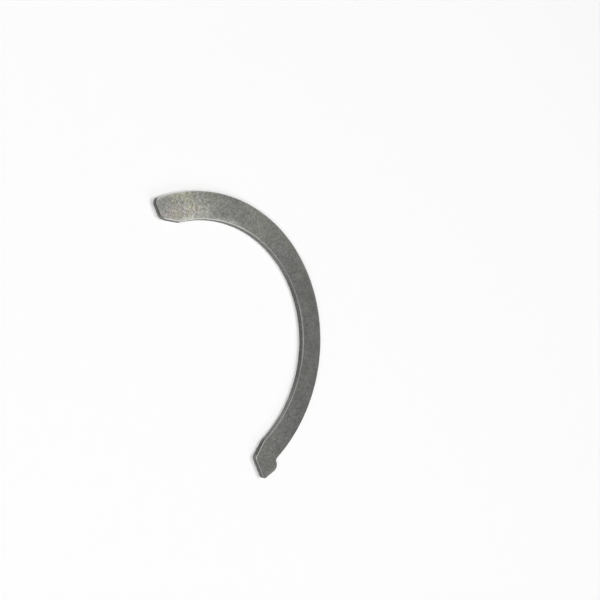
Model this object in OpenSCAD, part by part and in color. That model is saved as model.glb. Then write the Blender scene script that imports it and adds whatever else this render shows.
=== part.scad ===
// Half-ring thrust washer: one flat steel stamping that lies beside a shaft journal.
// The origin is the ring's centre on the lower face. X runs along the two end faces,
// Y runs through the crown of the arc and Z is the axis of the journal. Sizes are millimetres.

/* [Ring] */
// Diameter of the inner arc, which clears the journal
bore_d = 110; // [80:1:160]
// Width of the face from the inner arc to the outer arc
face_w = 12.3; // [9.5:0.1:20]
// Thickness of the plate
thickness = 3; // [2:0.1:6]

/* [Ends] */
// How much of each end face the slanted relief takes, measured from the bore
relief_w = 3.8; // [2:0.1:6]
// How far the relief climbs the bore above the end face
relief_h = 8; // [4:0.1:14]
// Radius of the corners at both ends of the reliefs and at the plain end
corner_r = 2.4; // [0.8:0.1:2.8]

/* [Locating tab] */
// How far the tab stands out past the outer arc
tab_reach = 3.7; // [3:0.1:10]
// Height of the tab above the end face
tab_h = 10.1; // [6:0.1:18]
// Radius of the tab's corner at the end face
tab_foot_r = 1.6; // [0.8:0.1:2.8]
// Radius of the tab's upper corner
tab_shoulder_r = 3.2; // [0.8:0.1:3.2]
// Radius of the inward corner where the tab grows out of the arc
root_r = 1.4; // [0.6:0.1:1.8]

/* [Edges] */
// Width of the small slope that breaks the edges of both faces
edge_break = 0.35; // [0.1:0.05:0.6]

/* [Hidden] */
$fn = 180;
steel_grey = [0.43, 0.43, 0.41];
// How far a cut runs past the surface it leaves through
over = 1;
// How far a round corner overlaps the sides it blends into, so that no sliver is left there
meet = 0.0002;
bore_r = bore_d / 2;
outer_r = bore_r + face_w;
tab_x = outer_r + tab_reach;

// Directions that point out of the metal
end_out = [0, -1];
tab_out = [1, 0];
tab_up = [0, 1];

// The relief is a straight line from the end face up to the bore
relief_foot = [bore_r + relief_w, 0];
relief_top = [sqrt(bore_r ^ 2 - relief_h ^ 2), relief_h];
relief_l = norm(relief_top - relief_foot);
relief_up = (relief_top - relief_foot) / relief_l;
relief_out = [-relief_up.y, relief_up.x];
// Where the line one corner radius inside the relief meets the arc one corner radius outside the bore
inner_foot = relief_foot - corner_r * relief_out;
inner_along = inner_foot * relief_up;
inner_rise = -inner_along - sqrt(inner_along ^ 2 + (bore_r + corner_r) ^ 2 - inner_foot * inner_foot);
bore_corner = inner_foot + inner_rise * relief_up;

// Centre of the corner that touches the outer arc from within and the plain end face
plain_corner = [-sqrt((outer_r - corner_r) ^ 2 - corner_r ^ 2), corner_r];
// Centre of the inward corner that touches the outer arc and the tab from outside
root_centre = [sqrt((outer_r + root_r) ^ 2 - (tab_h + root_r) ^ 2), tab_h + root_r];
// The upper corner of the tab stops where the inward corner begins
shoulder_r = min(tab_shoulder_r, tab_x - root_centre.x);

// Unit vector along v
function heading(v) = v / norm(v);

// From a corner's centre to its sharp tip, for a radius of one and the outward directions of its sides
function tip(out_a, out_b) = (out_a + out_b) / (1 + out_a * out_b);

// Plate of radius r whose rim is broken at both faces
module broken_disc(r) {
    rotate_extrude()
        polygon([
            [0, 0],
            [r - edge_break, 0],
            [r, edge_break],
            [r, thickness - edge_break],
            [r - edge_break, thickness],
            [0, thickness],
        ]);
}

// Round void of radius r that opens out at both faces
module flared_bore(r) {
    flare = edge_break + over;
    rotate_extrude()
        polygon([
            [0, -over],
            [r + flare, -over],
            [r, edge_break],
            [r, thickness - edge_break],
            [r + flare, thickness + over],
            [0, thickness + over],
        ]);
}

// Straight void beyond a line through the point at, which opens out at both faces
module flared_cut(at, out, run, depth) {
    flare = edge_break + over;
    translate(at)
        rotate(atan2(out.y, out.x))
            rotate([90, 0, 0])
                linear_extrude(run, center = true)
                    polygon([
                        [depth, -over],
                        [-flare, -over],
                        [0, edge_break],
                        [0, thickness - edge_break],
                        [-flare, thickness + over],
                        [depth, thickness + over],
                    ]);
}

// What a round corner of radius r removes between two sides
module corner_waste(centre, out_a, out_b, r) {
    far = r + over;
    translate(centre)
        difference() {
            translate([0, 0, -over])
                linear_extrude(thickness + 2 * over)
                    polygon([[0, 0], far * out_a, far * tip(out_a, out_b), far * out_b]);
            broken_disc(r + meet);
        }
}

// Round corner between two straight sides that meet at the point at
module straight_corner(at, out_a, out_b, r) {
    corner_waste(at - r * tip(out_a, out_b), out_a, out_b, r);
}

// Metal that fills the inward corner between the outer arc and the tab
module root_fillet() {
    into_ring = -heading(root_centre);
    into_tab = -tab_up;
    far = root_r + over;
    translate(root_centre)
        difference() {
            linear_extrude(thickness)
                polygon([[0, 0], far * into_ring, far * tip(into_ring, into_tab), far * into_tab]);
            flared_bore(root_r + meet);
        }
}

// Locating tab, rooted in the middle of the ring and still square at its end face
module tab() {
    root_x = (outer_r + bore_r) / 2;
    span = 2 * (tab_x + tab_h);
    difference() {
        translate([root_x, -over, 0])
            cube([tab_x + over - root_x, tab_h + 2 * over, thickness]);
        flared_cut([tab_x, 0], tab_out, span, span);
        flared_cut([tab_x, tab_h], tab_up, span, span);
        straight_corner([tab_x, tab_h], tab_out, tab_up, shoulder_r);
    }
}

// Slanted cut and its two round corners on the bore side of the end at +X
module end_relief() {
    flared_cut(relief_foot, relief_out, 3 * relief_l, bore_r / 2);
    straight_corner(relief_foot, relief_out, end_out, corner_r);
    corner_waste(bore_corner, relief_out, -heading(bore_corner), corner_r);
}

module thrust_washer() {
    color(steel_grey)
        difference() {
            union() {
                broken_disc(outer_r);
                tab();
                root_fillet();
            }
            flared_bore(bore_r);
            flared_cut([0, 0], end_out, 4 * tab_x, 2 * tab_x);
            for (side = [0, 1])
                mirror([side, 0, 0])
                    end_relief();
            corner_waste(plain_corner, heading(plain_corner), end_out, corner_r);
            straight_corner([tab_x, 0], tab_out, end_out, tab_foot_r);
        }
}

thrust_washer();
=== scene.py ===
"""Dresses the half-ring thrust washer: its broken edges, its worn steel and the studio it lies in.

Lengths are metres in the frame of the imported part. The ring's centre is the origin, X runs along
the two end faces towards the locating tab, Y runs through the crown and Z is the journal's axis.
A sweep is an angle round that axis, in degrees from the plain end to the tab end.
"""

from __future__ import annotations

import logging
import math
from collections.abc import Iterator
from dataclasses import dataclass
from enum import Enum

import bpy
from mathutils import Matrix, Vector


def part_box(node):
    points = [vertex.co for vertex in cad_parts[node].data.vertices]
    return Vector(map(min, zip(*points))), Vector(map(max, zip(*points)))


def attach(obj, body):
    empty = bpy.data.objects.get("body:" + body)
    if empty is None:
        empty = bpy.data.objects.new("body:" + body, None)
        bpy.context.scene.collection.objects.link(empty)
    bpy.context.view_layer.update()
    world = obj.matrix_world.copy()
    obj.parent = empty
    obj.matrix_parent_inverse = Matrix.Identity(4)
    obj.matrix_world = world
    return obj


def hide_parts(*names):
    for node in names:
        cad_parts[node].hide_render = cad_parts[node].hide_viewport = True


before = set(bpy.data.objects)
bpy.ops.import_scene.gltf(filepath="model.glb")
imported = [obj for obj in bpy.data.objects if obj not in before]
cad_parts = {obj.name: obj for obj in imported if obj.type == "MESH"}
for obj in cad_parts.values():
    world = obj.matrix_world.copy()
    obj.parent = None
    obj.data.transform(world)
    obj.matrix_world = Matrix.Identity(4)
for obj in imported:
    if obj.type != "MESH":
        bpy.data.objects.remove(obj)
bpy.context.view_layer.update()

LOG = logging.getLogger("thrust_washer")
MM = 0.001
MICRON = 1e-6
QUARTER_TURN = 90.0
RIM_RUN = "rim_run"

RGB = tuple[float, float, float]
Socket = bpy.types.NodeSocket
Feed = Socket | float | int | bool | tuple
Feeds = dict[str | int, Feed]


class Blend(Enum):
    """How a layer of colour goes over the one below it."""

    OVER = "MIX"
    TINT = "MULTIPLY"


@dataclass(frozen=True)
class Step:
    """A smooth step from low at start to high at end, which may be less than start."""

    start: float
    end: float
    low: float = 0.0
    high: float = 1.0


@dataclass(frozen=True)
class Stretch:
    """A mask that is 1 from start to end and fades out over the distance soft beyond them."""

    start: float
    end: float
    soft: float

    def flanks(self) -> tuple[Step, Step]:
        """Gives the steps that rise to the start and fall from the end."""
        return Step(self.start - self.soft, self.start), Step(self.end + self.soft, self.end)


@dataclass(frozen=True)
class Grain:
    """Seeded noise whose features are about as large as size, read through a step."""

    size: float
    detail: float
    seed: float
    step: Step


class NodeBench:
    """Adds nodes to one tree and links them as they are added."""

    def __init__(self, tree: bpy.types.NodeTree) -> None:
        """Keeps the tree that nodes are added to."""
        self.tree = tree

    def add(self, kind: str, feeds: Feeds | None = None, **settings: object) -> bpy.types.Node:
        """Adds one node.

        Args:
            kind: Blender's name of the node type.
            feeds: A value or another node's output for each input, by name or index.
            settings: Properties of the node itself, set before its inputs.

        Returns:
            The new node.
        """
        node = self.tree.nodes.new(kind)
        for name, value in settings.items():
            setattr(node, name, value)
        for key, feed in (feeds or {}).items():
            self.feed(node.inputs[key], feed)
        return node

    def result(self, kind: str, feeds: Feeds | None = None, **settings: object) -> Socket:
        """Adds one node as add does, and gives its first output."""
        return self.add(kind, feeds, **settings).outputs[0]

    def feed(self, socket: Socket, value: Feed) -> None:
        """Links an output to a socket, or sets the socket's own value.

        Args:
            socket: The input to fill.
            value: Another node's output, or a plain value.
        """
        if isinstance(value, Socket):
            self.tree.links.new(value, socket)
        else:
            socket.default_value = value

    def math(self, operation: str, first: Feed, second: Feed) -> Socket:
        """Adds a Math node for an operation that Blender names, and gives its result."""
        return self.result("ShaderNodeMath", {0: first, 1: second}, operation=operation)

    def minus(self, value: Feed) -> Socket:
        """Adds the negative of a value."""
        return self.math("MULTIPLY", value, -1.0)

    def times(self, *factors: Feed) -> Socket:
        """Adds the product of two or more values.

        Args:
            factors: What is multiplied.

        Returns:
            The product.
        """
        product = factors[0]
        for factor in factors[1:]:
            product = self.math("MULTIPLY", product, factor)
        return product

    def ramp(self, value: Feed, step: Step) -> Socket:
        """Adds a smooth step.

        Args:
            value: What is mapped.
            step: Where the step lies, and the levels that it joins.

        Returns:
            The mapped value.
        """
        feeds = {
            "Value": value,
            "From Min": step.start,
            "From Max": step.end,
            "To Min": step.low,
            "To Max": step.high,
        }
        return self.result("ShaderNodeMapRange", feeds, interpolation_type="SMOOTHSTEP")

    def mask(self, value: Feed, stretch: Stretch) -> Socket:
        """Adds the mask of a stretch.

        Args:
            value: What is tested.
            stretch: Where the mask lies.

        Returns:
            The mask.
        """
        rise, fall = stretch.flanks()
        return self.times(self.ramp(value, rise), self.ramp(value, fall))

    def noise(self, place: Feed, size: Feed, detail: float, seed: Feed) -> Socket:
        """Adds seeded noise.

        Args:
            place: The coordinates that it is read at.
            size: The size of its features, in metres.
            detail: How many finer layers are added.
            seed: Which pattern is taken.

        Returns:
            The noise, about 0.5 on average.
        """
        scale = self.math("DIVIDE", 1.0, size) if isinstance(size, Socket) else 1.0 / size
        feeds = {"Vector": place, "W": seed, "Scale": scale, "Detail": detail}
        return self.result("ShaderNodeTexNoise", feeds, noise_dimensions="4D")

    def grain(self, place: Feed, grain: Grain) -> Socket:
        """Adds a grain's noise at a place, read through its step."""
        return self.ramp(self.noise(place, grain.size, grain.detail, grain.seed), grain.step)

    def layer(self, below: Feed, above: Feed, share: Feed, blend: Blend = Blend.OVER) -> Socket:
        """Lays one colour over another.

        Args:
            below: The colour underneath.
            above: The colour laid over it.
            share: How much of it shows, from 0 to 1.
            blend: How the two are combined.

        Returns:
            The combined colour.
        """
        node = self.add("ShaderNodeMix", {"Factor": share}, data_type="RGBA", blend_type=blend.value)
        sockets = [socket for socket in node.inputs if socket.type == "RGBA"]
        for socket, colour in zip(sockets, (below, above)):
            self.feed(socket, colour if isinstance(colour, Socket) else (*colour, 1.0))
        return next(socket for socket in node.outputs if socket.type == "RGBA")

    def axes(self, place: Feed) -> dict[str, Socket]:
        """Adds the X, Y and Z of a place, by name."""
        return dict(self.add("ShaderNodeSeparateXYZ", {0: place}).outputs.items())

    def from_journal_axis(self, axes: dict[str, Socket]) -> Socket:
        """Adds the distance of a place from the journal's axis.

        Args:
            axes: The X, Y and Z of the place.

        Returns:
            The distance.
        """
        flat = self.result("ShaderNodeCombineXYZ", {"X": axes["X"], "Y": axes["Y"]})
        return self.add("ShaderNodeVectorMath", {0: flat}, operation="LENGTH").outputs["Value"]

    def moved(self, shape: Socket, heading: Socket, distance: Socket) -> Socket:
        """Adds the nodes that move each point of a shape.

        Args:
            shape: A mesh or a curve.
            heading: The vector that each point moves along.
            distance: How many times the vector it moves.

        Returns:
            The moved shape.
        """
        offset = self.result("ShaderNodeVectorMath", {0: heading, "Scale": distance}, operation="SCALE")
        return self.result("GeometryNodeSetPosition", {"Geometry": shape, "Offset": offset})


@dataclass(frozen=True)
class WasherPlace:
    """Where a shaded point lies on the washer.

    It holds the point, its height and sweep, its distances from the journal's axis and from the line
    of the end faces, and how much of it is slope and wall.
    """

    point: Socket
    height: Socket
    sweep: Socket
    radius: Socket
    past_ends: Socket
    slope: Socket
    wall: Socket

    @classmethod
    def read(cls, bench: NodeBench, rim: float, slope_run: float, soft: float) -> WasherPlace:
        """Adds the nodes that work the place out.

        Args:
            bench: Where the nodes go.
            rim: Width of the flat strip that the edge's own run begins with.
            slope_run: Width of the broken edge's slope.
            soft: How far slope and wall fade into what is beside them.

        Returns:
            The place.
        """
        point = bench.add("ShaderNodeTexCoord").outputs["Object"]
        axes = bench.axes(point)
        sweep = bench.math("ARCTAN2", axes["Y"], bench.minus(axes["X"]))
        run = bench.add("ShaderNodeAttribute", attribute_name=RIM_RUN).outputs["Fac"]
        wall_start = rim + slope_run
        return cls(
            point=point,
            height=axes["Z"],
            sweep=bench.result("ShaderNodeMath", {0: sweep}, operation="DEGREES"),
            radius=bench.from_journal_axis(axes),
            past_ends=axes["Y"],
            slope=bench.mask(run, Stretch(rim + soft, wall_start - soft, 2.0 * soft)),
            wall=bench.ramp(run, Step(wall_start - soft, wall_start + soft / 2.0)),
        )

    def both_ends(self, bench: NodeBench, plain: Step, tab: Step) -> Socket:
        """Adds the sum of a step of the sweep by the plain end and one by the tab end."""
        return bench.math("ADD", bench.ramp(self.sweep, plain), bench.ramp(self.sweep, tab))


@dataclass(frozen=True)
class Rub:
    """A rubbed place: a stretch of the sweep, and a step of the distance from the journal's axis."""

    sweep: Stretch
    radius: Step

    def mask(self, bench: NodeBench, at: WasherPlace) -> Socket:
        """Adds the mask of the place."""
        return bench.times(bench.mask(at.sweep, self.sweep), bench.ramp(at.radius, self.radius))


@dataclass(frozen=True)
class MatteFace:
    """Matte grey of the flat faces, rubbed pale and stained at the plain end, where the paleness is
    partly rubbed wear and partly a painted sheen.
    """

    # Ground colours and where they change along the sweep; the rubbed grey towards the plain end is
    # partly wear and partly a painted sheen
    plate: RGB = (0.1200, 0.1210, 0.1172)
    rubbed: RGB = (0.179, 0.182, 0.168)
    tab_grey: RGB = (0.1430, 0.1448, 0.1345)
    to_rubbed_and_sheen: Step = Step(95.0, 40.0)
    to_tab_grey: Step = Step(150.0, 175.0)

    # Pale rubbed places; the pale patch at the plain end is partly wear and partly a painted sheen
    pale: RGB = (0.424, 0.421, 0.396)
    plain_end: Step = Step(32.5, 14.0)
    rub_and_sheen_tip: Step = Step(-6.0, 16.0, 0.5, 1.0)
    rub_and_sheen_radius: Step = Step(67.0 * MM, 59.5 * MM, 0.32, 0.76)
    tab_rub: Step = Step(68.8 * MM, 70.6 * MM, high=0.2)
    end_corner: Rub = Rub(Stretch(-1.0, 1.5, 3.0), Step(63.5 * MM, 66.5 * MM, high=0.36))
    outer_rub: Rub = Rub(Stretch(0.0, 12.0, 5.0), Step(65.7 * MM, 66.7 * MM, high=0.55))
    bore_rub: Rub = Rub(Stretch(20.0, 38.0, 12.0), Step(58.5 * MM, 55.5 * MM, high=0.35))
    crown_rub: Rub = Rub(Stretch(80.0, 108.0, 12.0), Step(65.6 * MM, 66.8 * MM, high=0.17))

    # Stains of the plain end
    yellow_stain: RGB = (1.03, 1.02, 0.92)
    yellow_sweep: Stretch = Stretch(7.5, 16.0, 4.5)
    yellow_blotch: Grain = Grain(3.0 * MM, detail=1.5, seed=5.0, step=Step(0.30, 0.60))
    pink_stain: RGB = (1.03, 0.95, 1.00)
    pink_sweep: Stretch = Stretch(2.0, 17.0, 4.0)
    pink_radius: Stretch = Stretch(58.8 * MM, 61.0 * MM, 1.5 * MM)
    pink_streak: Grain = Grain(2.5 * MM, detail=2.0, seed=6.0, step=Step(0.36, 0.58))

    # Uneven colour, from the widest clouds to the finest spots
    olive_tint: RGB = (1.01, 1.02, 0.95)
    olive: Grain = Grain(9.0 * MM, detail=2.0, seed=4.0, step=Step(0.45, 0.65))
    cloud: Grain = Grain(7.0 * MM, detail=2.0, seed=1.0, step=Step(0.3, 0.7, 0.91, 1.09))
    fine: Grain = Grain(0.9 * MM, detail=3.0, seed=2.0, step=Step(0.3, 0.7, 0.74, 1.26))
    calm_sweep: Stretch = Stretch(95.0, 145.0, 15.0)
    calm_fine: Step = Step(0.0, 1.0, 1.0, 0.83)
    speckle: Grain = Grain(0.8 * MM, detail=2.0, seed=3.0, step=Step(0.3, 0.7, 0.70, 1.30))
    speckle_sweep: Step = Step(2.0, 11.0, 0.35, 1.0)

    def colour(self, bench: NodeBench, at: WasherPlace) -> Socket:
        """Adds the colour of the faces.

        Args:
            bench: Where the nodes go.
            at: The shaded point.

        Returns:
            The colour.
        """
        plain_end = bench.ramp(at.sweep, self.plain_end)
        # Paler towards the plain end: partly rubbed wear, partly a painted sheen
        colour = bench.layer(self.plate, self.rubbed, bench.ramp(at.sweep, self.to_rubbed_and_sheen))
        colour = bench.layer(colour, self.tab_grey, bench.ramp(at.sweep, self.to_tab_grey))
        colour = self.pale_rubs_and_sheen(bench, at, colour, plain_end)
        colour = self.stained(bench, at, colour)
        colour = bench.layer(colour, self.olive_tint, bench.grain(at.point, self.olive), Blend.TINT)
        colour = bench.layer(colour, bench.grain(at.point, self.cloud), 1.0, Blend.TINT)
        fine_share = bench.ramp(bench.mask(at.sweep, self.calm_sweep), self.calm_fine)
        colour = bench.layer(colour, bench.grain(at.point, self.fine), fine_share, Blend.TINT)
        speckle_share = bench.times(plain_end, bench.ramp(at.sweep, self.speckle_sweep))
        return bench.layer(colour, bench.grain(at.point, self.speckle), speckle_share, Blend.TINT)

    def pale_rubs_and_sheen(self, bench: NodeBench, at: WasherPlace, colour: Socket, plain_end: Socket) -> Socket:
        """Adds the pale rubbed places, whose patch at the plain end is partly rubbed wear and partly a
        painted sheen.

        Args:
            bench: Where the nodes go.
            at: The shaded point.
            colour: The colour below them.
            plain_end: How much of the point belongs to the plain end.

        Returns:
            The rubbed colour.
        """
        # The patch at the plain end: partly rubbed wear, partly a painted sheen
        inward = bench.ramp(at.radius, self.rub_and_sheen_radius)
        rub_and_sheen_patch = bench.times(plain_end, inward, bench.ramp(at.sweep, self.rub_and_sheen_tip))
        pairs = (
            (self.crown_rub.mask(bench, at), bench.ramp(at.radius, self.tab_rub)),
            (rub_and_sheen_patch, self.bore_rub.mask(bench, at)),
            (self.end_corner.mask(bench, at), self.outer_rub.mask(bench, at)),
        )
        for first, second in pairs:
            colour = bench.layer(colour, self.pale, bench.math("MAXIMUM", first, second))
        return colour

    def stained(self, bench: NodeBench, at: WasherPlace, colour: Socket) -> Socket:
        """Adds the stains of the plain end.

        Args:
            bench: Where the nodes go.
            at: The shaded point.
            colour: The colour below the stains.

        Returns:
            The stained colour.
        """
        yellow = bench.times(
            bench.mask(at.sweep, self.yellow_sweep),
            bench.grain(at.point, self.yellow_blotch),
        )
        pink = bench.times(
            bench.mask(at.sweep, self.pink_sweep),
            bench.mask(at.radius, self.pink_radius),
            bench.grain(at.point, self.pink_streak),
        )
        colour = bench.layer(colour, self.yellow_stain, yellow, Blend.TINT)
        return bench.layer(colour, self.pink_stain, pink, Blend.TINT)


@dataclass(frozen=True)
class CutWall:
    """Grey of the walls, torn dark above and smooth below."""

    smooth: RGB = (0.132, 0.132, 0.126)
    # Paler grey of the walls towards both ends: partly wear, partly painted light
    worn: RGB = (0.240, 0.239, 0.229)
    torn: RGB = (0.036, 0.036, 0.035)
    torn_height: Step = Step(1.2 * MM, 2.4 * MM)

    # How dark the arcs and reliefs are torn, at the plain end and at the tab end
    torn_plain: Step = Step(42.0, 24.0, 0.05, 0.20)
    torn_tab: Step = Step(168.0, 174.0, 0.05, 0.85)
    past_end_faces: Step = Step(0.6 * MM, 2.0 * MM)

    # How dark the end faces are torn
    torn_ends: Step = Step(2.0 * MM, 0.6 * MM, high=0.72)
    torn_ends_radius: Step = Step(59.3 * MM, 60.8 * MM, 0.35, 1.0)

    # How far the two sides are paler, partly worn and partly painted light, which leaves the crown's wall
    # in painted shade, and how much less where the wall is torn
    worn_and_lit_plain: Step = Step(92.0, 72.0, high=0.75)
    worn_and_lit_tab: Step = Step(130.0, 152.0)
    worn_and_lit_where_torn: Step = Step(0.1, 0.95, 1.0, 0.3)

    # Marks that the cut draws down the wall
    drag: Grain = Grain(0.6 * MM, detail=3.0, seed=7.0, step=Step(0.3, 0.7, 0.80, 1.20))
    drag_scale: tuple[float, float, float] = (1.0, 1.0, 0.2)

    def colour(self, bench: NodeBench, at: WasherPlace) -> Socket:
        """Adds the colour of the walls.

        Args:
            bench: Where the nodes go.
            at: The shaded point.

        Returns:
            The colour.
        """
        along = bench.times(
            at.both_ends(bench, self.torn_plain, self.torn_tab),
            bench.ramp(at.past_ends, self.past_end_faces),
        )
        across = bench.times(
            bench.ramp(at.past_ends, self.torn_ends),
            bench.ramp(at.radius, self.torn_ends_radius),
        )
        depth = bench.math("ADD", along, across)
        torn = bench.times(bench.ramp(at.height, self.torn_height), depth)
        # Paler towards both ends: partly wear, partly painted light, leaving painted shade on the crown's
        # wall
        worn = bench.times(
            at.both_ends(bench, self.worn_and_lit_plain, self.worn_and_lit_tab),
            bench.ramp(depth, self.worn_and_lit_where_torn),
        )
        drawn = bench.result("ShaderNodeMapping", {"Vector": at.point, "Scale": self.drag_scale})
        colour = bench.layer(self.smooth, self.worn, worn)
        colour = bench.layer(colour, self.torn, torn)
        return bench.layer(colour, bench.grain(drawn, self.drag), 1.0, Blend.TINT)


@dataclass(frozen=True)
class BrightEdge:
    """Bare metal of the broken edges and of the rubbed spot on the bore by the plain end, with a bright
    colour by the two ends that is partly bare metal and partly a painted highlight.
    """

    bare: RGB = (0.226, 0.225, 0.217)
    # Bright colour: partly polished bare metal, partly a painted highlight of the light that the edges
    # catch, strongest by the plain end
    bright: RGB = (0.740, 0.736, 0.714)
    highlight_plain: Step = Step(95.0, 15.0)
    highlight_tab: Step = Step(130.0, 160.0, high=0.5)
    wear: Grain = Grain(2.5 * MM, detail=3.0, seed=8.0, step=Step(0.28, 0.50, 0.70, 1.0))
    end_faces: Step = Step(1.6 * MM, 0.5 * MM)
    end_dullness: Step = Step(60.0, 120.0, 1.0, 0.45)
    bore_spot: Rub = Rub(Stretch(9.0, 13.0, 3.0), Step(57.2 * MM, 55.6 * MM))
    bore_spot_share: Step = Step(0.0, 1.0, 0.28, 0.0)

    def colour(self, bench: NodeBench, at: WasherPlace) -> Socket:
        """Adds the colour of the metal, brightest by the two ends, where it is partly a painted
        highlight.
        """
        bright = at.both_ends(bench, self.highlight_plain, self.highlight_tab)
        return bench.layer(self.bare, self.bright, bright)

    def share(self, bench: NodeBench, at: WasherPlace) -> Socket:
        """Adds how much of the metal shows.

        Args:
            bench: Where the nodes go.
            at: The shaded point.

        Returns:
            The share, from 0 to 1.
        """
        dull = bench.times(
            bench.ramp(at.past_ends, self.end_faces),
            bench.ramp(at.sweep, self.end_dullness),
        )
        clear = bench.math("SUBTRACT", 1.0, dull)
        line = bench.times(at.slope, bench.grain(at.point, self.wear), clear)
        spot = bench.times(
            self.bore_spot.mask(bench, at),
            bench.ramp(at.wall, self.bore_spot_share),
        )
        return bench.math("MAXIMUM", line, spot)


@dataclass(frozen=True)
class PressedSteel:
    """Steel of the washer: matte faces, cut walls and bright broken edges."""

    rim: float
    slope_run: float
    band_softness: float = 0.04 * MM
    face: MatteFace = MatteFace()
    wall: CutWall = CutWall()
    edge: BrightEdge = BrightEdge()
    metallic: float = 0.5
    roughness: Grain = Grain(3.0 * MM, detail=3.0, seed=9.0, step=Step(0.3, 0.7, 0.56, 0.68))
    slope_polish: Step = Step(0.0, 1.0, 1.0, 0.75)
    pit_size: float = 0.5 * MM
    pit_detail: float = 3.0
    pit_seed: float = 10.0
    pit_depth: float = 0.05 * MM
    pit_strength: float = 0.3

    def material(self) -> bpy.types.Material:
        """Builds the steel.

        Returns:
            The material.
        """
        material = bpy.data.materials.new("pressed_steel")
        material.use_nodes = True
        bench = NodeBench(material.node_tree)
        at = WasherPlace.read(bench, self.rim, self.slope_run, self.band_softness)
        colour = bench.layer(self.face.colour(bench, at), self.wall.colour(bench, at), at.wall)
        colour = bench.layer(colour, self.edge.colour(bench, at), self.edge.share(bench, at))
        polish = bench.ramp(at.slope, self.slope_polish)
        pits = bench.noise(at.point, self.pit_size, self.pit_detail, self.pit_seed)
        bump = {"Height": pits, "Strength": self.pit_strength, "Distance": self.pit_depth}
        shader = material.node_tree.nodes["Principled BSDF"].inputs
        bench.feed(shader["Base Color"], colour)
        bench.feed(shader["Metallic"], self.metallic)
        bench.feed(shader["Roughness"], bench.times(bench.grain(at.point, self.roughness), polish))
        bench.feed(shader["Normal"], bench.result("ShaderNodeBump", bump))
        return material


@dataclass(frozen=True)
class PalePaper:
    """White paper of the floor."""

    shade: RGB = (0.948, 0.948, 0.945)
    roughness: float = 0.95
    gloss: float = 0.0

    def material(self) -> bpy.types.Material:
        """Builds the paper.

        Returns:
            The material.
        """
        material = bpy.data.materials.new("pale_paper")
        material.use_nodes = True
        shader = material.node_tree.nodes["Principled BSDF"].inputs
        shader["Base Color"].default_value = (*self.shade, 1.0)
        shader["Roughness"].default_value = self.roughness
        shader["Specular IOR Level"].default_value = self.gloss
        return material


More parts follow.
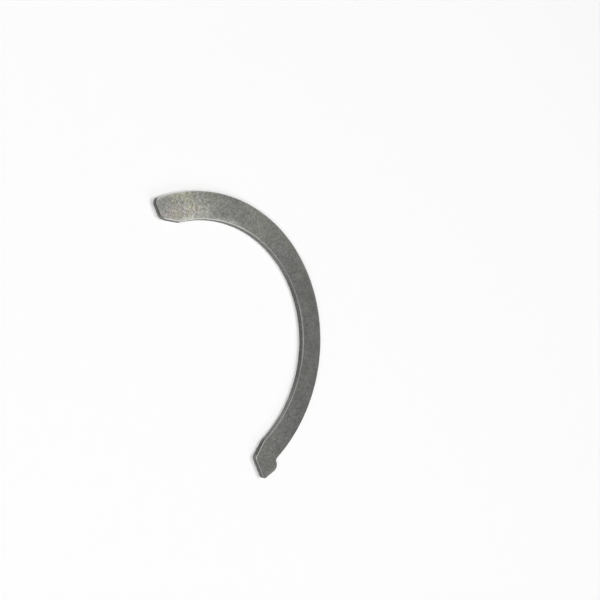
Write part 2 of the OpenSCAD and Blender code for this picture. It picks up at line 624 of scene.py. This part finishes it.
@dataclass(frozen=True)
class WasherOutline:
    """Outline of the washer's plate, counterclockwise seen from above."""

    outer_r: float
    tab_x: float
    face_w: float = 12.3 * MM
    relief_w: float = 3.8 * MM
    relief_h: float = 8.0 * MM
    corner_r: float = 2.4 * MM
    tab_h: float = 10.1 * MM
    tab_foot_r: float = 1.6 * MM
    tab_shoulder_r: float = 3.2 * MM
    root_r: float = 1.4 * MM
    arc_step: float = 0.1 * MM
    fewest_steps: int = 8

    @property
    def bore_r(self) -> float:
        """Radius of the inner arc."""
        return self.outer_r - self.face_w

    def arc(self, centre: Vector, radius: float, start: float, turn: float) -> Iterator[Vector]:
        """Walks along an arc.

        Args:
            centre: Centre of the arc.
            radius: Its radius.
            start: Heading of its first point from the centre, in radians.
            turn: Angle that it turns through, positive if counterclockwise.

        Returns:
            Its points in order.
        """
        count = max(self.fewest_steps, round(abs(turn) * radius / self.arc_step))
        for index in range(count + 1):
            angle = start + turn * index / count
            yield centre + radius * Vector((math.cos(angle), math.sin(angle)))

    def corner(self, centre: Vector, radius: float, first: Vector, last: Vector) -> Iterator[Vector]:
        """Walks round a corner the short way.

        Args:
            centre: Centre of the corner's arc.
            radius: Its radius.
            first: Direction from the centre to where the arc begins.
            last: Direction from the centre to where it ends.

        Returns:
            Its points in order.
        """
        turn = math.atan2(first.cross(last), first.dot(last))
        yield from self.arc(centre, radius, math.atan2(first.y, first.x), turn)

    def points(self) -> list[Vector]:
        """Works out the whole outline.

        Returns:
            Its points in order, without repeating the first.
        """
        down = Vector((0.0, -1.0))
        right = Vector((1.0, 0.0))
        origin = Vector((0.0, 0.0))
        foot = Vector((self.bore_r + self.relief_w, 0.0))
        top = Vector((math.sqrt(self.bore_r ** 2 - self.relief_h ** 2), self.relief_h))
        up = (top - foot).normalized()
        out = Vector((-up.y, up.x))
        foot_centre = foot - self.corner_r * (out + down) / (1.0 + out.dot(down))
        inner = foot - self.corner_r * out
        along = inner.dot(up)
        reach = (self.bore_r + self.corner_r) ** 2 - inner.length_squared
        bore_centre = inner - (along + math.sqrt(along ** 2 + reach)) * up
        plain_x = math.sqrt((self.outer_r - self.corner_r) ** 2 - self.corner_r ** 2)
        plain_centre = Vector((-plain_x, self.corner_r))
        root_y = self.tab_h + self.root_r
        root_centre = Vector((math.sqrt((self.outer_r + self.root_r) ** 2 - root_y ** 2), root_y))
        shoulder_r = min(self.tab_shoulder_r, self.tab_x - root_centre.x)
        tab_foot = Vector((self.tab_x - self.tab_foot_r, self.tab_foot_r))
        shoulder = Vector((self.tab_x - shoulder_r, self.tab_h - shoulder_r))
        crown_start = math.atan2(root_centre.y, root_centre.x)
        crown_end = math.atan2(plain_centre.y, plain_centre.x)
        bore_start = math.atan2(bore_centre.y, -bore_centre.x)
        bore_end = math.atan2(bore_centre.y, bore_centre.x)

        outline = [*self.corner(foot_centre, self.corner_r, out, down)]
        outline += self.corner(tab_foot, self.tab_foot_r, down, right)
        outline += self.corner(shoulder, shoulder_r, right, -down)
        outline += self.corner(root_centre, self.root_r, down, -root_centre)
        outline += self.arc(origin, self.outer_r, crown_start, crown_end - crown_start)
        outline += self.corner(plain_centre, self.corner_r, plain_centre, down)
        mirrored = [*self.corner(bore_centre, self.corner_r, -bore_centre, out)]
        mirrored += self.corner(foot_centre, self.corner_r, out, down)
        outline += [Vector((-point.x, point.y)) for point in reversed(mirrored)]
        outline += self.arc(origin, self.bore_r, bore_start, bore_end - bore_start)
        outline += self.corner(bore_centre, self.corner_r, -bore_centre, out)
        return self.without_doubles(outline)

    def without_doubles(self, outline: list[Vector]) -> list[Vector]:
        """Drops points that lie on the one before them.

        Args:
            outline: Points of a closed outline.

        Returns:
            The points that are left.
        """
        pairs = zip(outline, outline[-1:] + outline[:-1])
        return [point for point, before in pairs if (point - before).length > MICRON]


@dataclass(frozen=True)
class HalfRing:
    """The washer itself: one flat plate with broken edges."""

    outline: WasherOutline
    thickness: float
    edge_break: float = 0.35 * MM
    edge_softness: float = 0.12 * MM
    soft_steps: int = 4
    rim: float = 0.25 * MM
    spacing: float = 0.4 * MM

    # How far the lower edge of the bore's wall lies to one side, and where that fades out
    skew_along: float = 0.26 * MM
    skew_across: float = -0.28 * MM
    skew_fade: float = 1.0 * MM
    skew_past_ends: Step = Step(0.5 * MM, 3.0 * MM)

    # Worn nicks, with the part of the slope and of the noise that they take up
    nick_depth: float = 0.05 * MM
    nick_size: float = 2.5 * MM
    nick_detail: float = 2.0
    nick_band: Stretch = Stretch(0.05, 0.95, 0.15)
    nick_share: Step = Step(0.45, 0.75)
    seed: float = 4.0

    @property
    def slope_run(self) -> float:
        """Width of the broken edge's slope."""
        return math.sqrt(2.0) * self.edge_break

    def sizes(self) -> dict[str, float]:
        """Lists the sizes that the tree takes.

        Returns:
            The sizes, by the names of the tree's inputs.
        """
        return {
            "Thickness": self.thickness,
            "Edge break": self.edge_break,
            "Edge softness": self.edge_softness,
            "Rim": self.rim,
            "Spacing": self.spacing,
            "Skew along": self.skew_along,
            "Skew across": self.skew_across,
            "Nick depth": self.nick_depth,
            "Nick size": self.nick_size,
            "Seed": self.seed,
        }

    def outline_object(self) -> bpy.types.Object:
        """Makes the outline as a closed curve.

        Returns:
            The curve's object.
        """
        curve = bpy.data.curves.new("washer_outline", "CURVE")
        curve.dimensions = "3D"
        spline = curve.splines.new("POLY")
        points = self.outline.points()
        spline.points.add(len(points) - 1)
        for slot, point in zip(spline.points, points):
            slot.co = (point.x, point.y, 0.0, 1.0)
        spline.use_cyclic_u = True
        made = bpy.data.objects.new("washer_outline", curve)
        bpy.context.scene.collection.objects.link(made)
        return made

    def section(self, bench: NodeBench, sizes: dict[str, Socket]) -> Socket:
        """Adds the nodes of the plate's edge section, from the upper face down to the lower one.

        Args:
            bench: Where the nodes go.
            sizes: The tree's inputs by name.

        Returns:
            The section as a curve, with its distance from the faces stored.
        """
        broken = bench.minus(sizes["Edge break"])
        inset = bench.math("SUBTRACT", broken, sizes["Rim"])
        top = bench.minus(sizes["Thickness"])
        high = bench.math("ADD", top, sizes["Edge break"])
        corners = [(inset, top), (broken, top), (0.0, high), (0.0, broken), (broken, 0.0), (inset, 0.0)]
        choice = bench.add("GeometryNodeIndexSwitch", data_type="VECTOR")
        while len(choice.index_switch_items) < len(corners):
            choice.index_switch_items.new()
        bench.feed(choice.inputs["Index"], bench.result("GeometryNodeInputIndex"))
        for index, (outward, depth) in enumerate(corners):
            corner = bench.result("ShaderNodeCombineXYZ", {"X": outward, "Y": depth})
            bench.feed(choice.inputs[index + 1], corner)
        points = bench.result("GeometryNodePoints", {"Count": len(corners)})
        line = bench.result("GeometryNodePointsToCurves", {"Points": points})
        bent = {"Geometry": line, "Position": choice.outputs[0]}
        soft = {
            "Curve": bench.result("GeometryNodeSetPosition", bent),
            "Count": self.soft_steps,
            "Radius": sizes["Edge softness"],
            "Limit Radius": True,
        }
        line = bench.result("GeometryNodeFilletCurve", soft, mode="POLY")
        run = bench.add("GeometryNodeSplineParameter").outputs["Length"]
        whole = bench.result("GeometryNodeSplineLength")
        nearest = bench.math("MINIMUM", run, bench.math("SUBTRACT", whole, run))
        stored = {"Geometry": line, "Name": RIM_RUN, "Value": nearest}
        return bench.result("GeometryNodeStoreNamedAttribute", stored, data_type="FLOAT")

    def cover(self, bench: NodeBench, path: Socket, sizes: dict[str, Socket]) -> Socket:
        """Adds the nodes of one flat face.

        Args:
            bench: Where the nodes go.
            path: The outline.
            sizes: The tree's inputs by name.

        Returns:
            The face at height 0, facing up.
        """
        inward = bench.minus(bench.math("ADD", sizes["Edge break"], sizes["Rim"]))
        edge = bench.moved(path, bench.result("GeometryNodeInputNormal"), inward)
        return bench.result("GeometryNodeFillCurve", {"Curve": edge}, mode="TRIANGLES")

    def skewed(self, bench: NodeBench, plate: Socket, sizes: dict[str, Socket]) -> Socket:
        """Adds the nodes that slant the wall of the bore.

        Args:
            bench: Where the nodes go.
            plate: The whole plate.
            sizes: The tree's inputs by name.

        Returns:
            The plate, whose upper face and end faces are unchanged.
        """
        axes = bench.axes(bench.result("GeometryNodeInputPosition"))
        middle = (self.outline.outer_r + self.outline.bore_r) / 2.0
        by_bore = bench.ramp(bench.from_journal_axis(axes), Step(middle, middle - self.skew_fade))
        past_ends = bench.ramp(axes["Y"], self.skew_past_ends)
        low = bench.math("SUBTRACT", 1.0, bench.math("DIVIDE", axes["Z"], sizes["Thickness"]))
        skew = {"X": sizes["Skew along"], "Y": sizes["Skew across"]}
        heading = bench.result("ShaderNodeCombineXYZ", skew)
        return bench.moved(plate, heading, bench.times(by_bore, past_ends, low))

    def nicks(self, bench: NodeBench, plate: Socket, sizes: dict[str, Socket]) -> Socket:
        """Adds the nodes that wear shallow nicks into the broken edges.

        Args:
            bench: Where the nodes go.
            plate: The whole plate.
            sizes: The tree's inputs by name.

        Returns:
            The worn plate, nowhere larger than before.
        """
        run = bench.result("GeometryNodeInputNamedAttribute", {"Name": RIM_RUN}, data_type="FLOAT")
        along_slope = bench.math("DIVIDE", bench.math("SUBTRACT", run, self.rim), self.slope_run)
        on_slope = bench.mask(along_slope, self.nick_band)
        place = bench.result("GeometryNodeInputPosition")
        noise = bench.noise(place, sizes["Nick size"], self.nick_detail, sizes["Seed"])
        wear = bench.ramp(noise, self.nick_share)
        inward = bench.times(wear, on_slope, bench.minus(sizes["Nick depth"]))
        return bench.moved(plate, bench.result("GeometryNodeInputNormal"), inward)

    def inputs(self, tree: bpy.types.NodeTree) -> dict[str, str]:
        """Gives the tree its sockets.

        Args:
            tree: The tree.

        Returns:
            The identifier of each size's input and of the finish's, by name.
        """
        tree.interface.new_socket("Geometry", in_out="INPUT", socket_type="NodeSocketGeometry")
        tree.interface.new_socket("Geometry", in_out="OUTPUT", socket_type="NodeSocketGeometry")
        kinds = dict.fromkeys(self.sizes(), "NodeSocketFloat")
        kinds["Finish"] = "NodeSocketMaterial"
        names = {}
        for name, kind in kinds.items():
            names[name] = tree.interface.new_socket(name, in_out="INPUT", socket_type=kind).identifier
        return names

    def tree(self) -> tuple[bpy.types.NodeTree, dict[str, str]]:
        """Builds the tree that turns the outline into the plate.

        Returns:
            The tree, and the identifier of each of its inputs by name.
        """
        tree = bpy.data.node_groups.new("washer_plate", "GeometryNodeTree")
        names = self.inputs(tree)
        bench = NodeBench(tree)
        given = bench.add("NodeGroupInput").outputs
        sizes = {name: given[name] for name in self.sizes()}
        spaced = {"Curve": given["Geometry"], "Length": sizes["Spacing"]}
        path = bench.result("GeometryNodeResampleCurve", spaced, mode="LENGTH")
        swept = {"Curve": path, "Profile Curve": self.section(bench, sizes)}
        edge = bench.result("GeometryNodeCurveToMesh", swept)
        cover = self.cover(bench, path, sizes)
        lift = bench.result("ShaderNodeCombineXYZ", {"Z": sizes["Thickness"]})
        upper = bench.result("GeometryNodeTransform", {"Geometry": cover, "Translation": lift})
        lower = bench.result("GeometryNodeFlipFaces", {"Mesh": cover})
        join = bench.add("GeometryNodeJoinGeometry")
        for part in (lower, upper, edge):
            tree.links.new(part, join.inputs[0])
        close = {"Geometry": join.outputs[0], "Distance": MICRON}
        plate = bench.result("GeometryNodeMergeByDistance", close)
        plate = self.skewed(bench, plate, sizes)
        plate = self.nicks(bench, plate, sizes)
        plate = bench.result("GeometryNodeSetShadeSmooth", {"Geometry": plate})
        plate = bench.result("GeometryNodeRealizeInstances", {"Geometry": plate})
        dressed = {"Geometry": plate, "Material": given["Finish"]}
        plate = bench.result("GeometryNodeSetMaterial", dressed)
        bench.add("NodeGroupOutput", {"Geometry": plate})
        return tree, names

    def build(self, finish: bpy.types.Material) -> bpy.types.Object:
        """Makes the plate as a plain mesh.

        Args:
            finish: What it is made of.

        Returns:
            The plate's object.
        """
        outline = self.outline_object()
        tree, names = self.tree()
        modifier = outline.modifiers.new("plate", "NODES")
        modifier.node_group = tree
        for name, size in self.sizes().items():
            modifier[names[name]] = size
        modifier[names["Finish"]] = finish
        graph = bpy.context.evaluated_depsgraph_get()
        mesh = bpy.data.meshes.new_from_object(outline.evaluated_get(graph), depsgraph=graph)
        mesh.name = "half_ring"
        mesh.materials.clear()
        mesh.materials.append(finish)
        mesh.polygons.foreach_set("material_index", [0] * len(mesh.polygons))
        outline.modifiers.remove(modifier)
        bpy.data.objects.remove(outline)
        piece = bpy.data.objects.new("half_ring", mesh)
        bpy.context.scene.collection.objects.link(piece)
        return piece


@dataclass(frozen=True)
class SoftBox:
    """A large soft lamp that faces the washer."""

    name: str
    heading: float
    elevation: float
    width: float
    height: float
    power: float
    distance: float = 3.0

    def place(self, aim: Vector) -> bpy.types.Object:
        """Hangs the lamp.

        Args:
            aim: The point that it faces.

        Returns:
            The lamp's object.
        """
        lamp = bpy.data.lights.new(self.name, "AREA")
        lamp.shape = "RECTANGLE"
        lamp.size = self.width
        lamp.size_y = self.height
        lamp.energy = self.power
        away = direction(self.heading, self.elevation)
        made = bpy.data.objects.new(self.name, lamp)
        made.location = aim + self.distance * away
        made.rotation_euler = away.to_track_quat("Z", "Y").to_euler()
        bpy.context.scene.collection.objects.link(made)
        return made


@dataclass(frozen=True)
class Studio:
    """Floor, light and camera."""

    floor_size: float = 3.0

    # Even light of the room, and the heights of view between which a white wall fades into it
    white: RGB = (1.0, 1.0, 1.0)
    sky: float = 0.13
    wall_full: float = 0.17
    wall_end: float = 0.24

    lamps: tuple[SoftBox, ...] = (
        SoftBox("key_box", heading=66.0, elevation=62.0, width=1.0, height=1.0, power=33.0),
        SoftBox("top_box", heading=250.0, elevation=85.0, width=1.6, height=1.6, power=23.0),
        SoftBox("fill_box", heading=255.0, elevation=45.0, width=2.4, height=1.6, power=44.0),
        SoftBox("edge_box", heading=12.0, elevation=32.0, width=0.8, height=0.6, power=8.4),
    )

    # Camera: its lens, what it aims at, and its view, whose heading is counted from +Y towards +X
    focal_length: float = 39.135
    sensor: float = 36.0
    nearest: float = 10.0 * MM
    aim: tuple[float, float, float] = (4.145 * MM, 56.283 * MM, 3.0 * MM)
    view_heading: float = 24.498
    view_elevation: float = 46.925
    view_distance: float = 321.44 * MM
    view_roll: float = 89.699

    def floor(self) -> bpy.types.Object:
        """Lays the floor.

        Returns:
            The floor's object.
        """
        half = self.floor_size / 2.0
        mesh = bpy.data.meshes.new("floor")
        corners = [(-half, -half, 0.0), (half, -half, 0.0), (half, half, 0.0), (-half, half, 0.0)]
        mesh.from_pydata(corners, [], [range(len(corners))])
        mesh.materials.append(PalePaper().material())
        made = bpy.data.objects.new("floor", mesh)
        bpy.context.scene.collection.objects.link(made)
        return made

    def room(self) -> bpy.types.World:
        """Sets the even light of the room and the white wall beyond the floor.

        Returns:
            The world.
        """
        world = bpy.data.worlds.new("studio")
        world.use_nodes = True
        bench = NodeBench(world.node_tree)
        rays = bench.add("ShaderNodeLightPath").outputs
        reflected = bench.math("MAXIMUM", rays["Is Glossy Ray"], rays["Is Transmission Ray"])
        seen = bench.math("MAXIMUM", rays["Is Camera Ray"], reflected)
        heading = bench.add("ShaderNodeTexCoord").outputs["Generated"]
        upward = bench.axes(heading)["Z"]
        rise = Step(self.wall_end, self.wall_full, high=1.0 - self.sky)
        wall = bench.times(seen, bench.ramp(upward, rise))
        backdrop = world.node_tree.nodes["Background"].inputs
        bench.feed(backdrop["Color"], (*self.white, 1.0))
        bench.feed(backdrop["Strength"], bench.math("ADD", wall, self.sky))
        bpy.context.scene.world = world
        return world

    def light(self) -> list[bpy.types.Object]:
        """Hangs the lamps, and gives their objects."""
        return [lamp.place(Vector(self.aim)) for lamp in self.lamps]

    def camera(self) -> bpy.types.Object:
        """Sets the camera, turned a quarter on its side.

        Returns:
            The camera's object.
        """
        lens = bpy.data.cameras.new("camera")
        lens.lens = self.focal_length
        lens.sensor_width = self.sensor
        lens.clip_start = self.nearest
        made = bpy.data.objects.new("camera", lens)
        back = -direction(QUARTER_TURN - self.view_heading, -self.view_elevation)
        upright = back.to_track_quat("Z", "Y").to_matrix()
        rolled = upright @ Matrix.Rotation(math.radians(self.view_roll), 3, "Z")
        place = Vector(self.aim) + self.view_distance * back
        made.matrix_world = Matrix.Translation(place) @ rolled.to_4x4()
        bpy.context.scene.collection.objects.link(made)
        bpy.context.scene.camera = made
        return made


def direction(heading: float, elevation: float) -> Vector:
    """Works out a direction.

    Args:
        heading: Degrees from +X towards +Y.
        elevation: Degrees above the floor.

    Returns:
        The unit vector.
    """
    turn = math.radians(heading)
    rise = math.radians(elevation)
    return Vector((math.cos(turn) * math.cos(rise), math.sin(turn) * math.cos(rise), math.sin(rise)))


def main() -> None:
    """Builds the washer and the studio."""
    logging.basicConfig(level=logging.INFO)
    bpy.context.scene.view_settings.view_transform = "Standard"
    low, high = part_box("thrust_washer")
    ring = HalfRing(WasherOutline(outer_r=high.y, tab_x=high.x), thickness=high.z - low.z)
    piece = ring.build(PressedSteel(ring.rim, ring.slope_run).material())
    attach(piece, "root")
    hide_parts("thrust_washer")
    LOG.info("%s: %d vertices, %d faces", piece.name, len(piece.data.vertices), len(piece.data.polygons))
    studio = Studio()
    for made in (studio.floor(), studio.room(), *studio.light(), studio.camera()):
        LOG.info("%s", made.name)


if __name__ == "__main__":
    main()
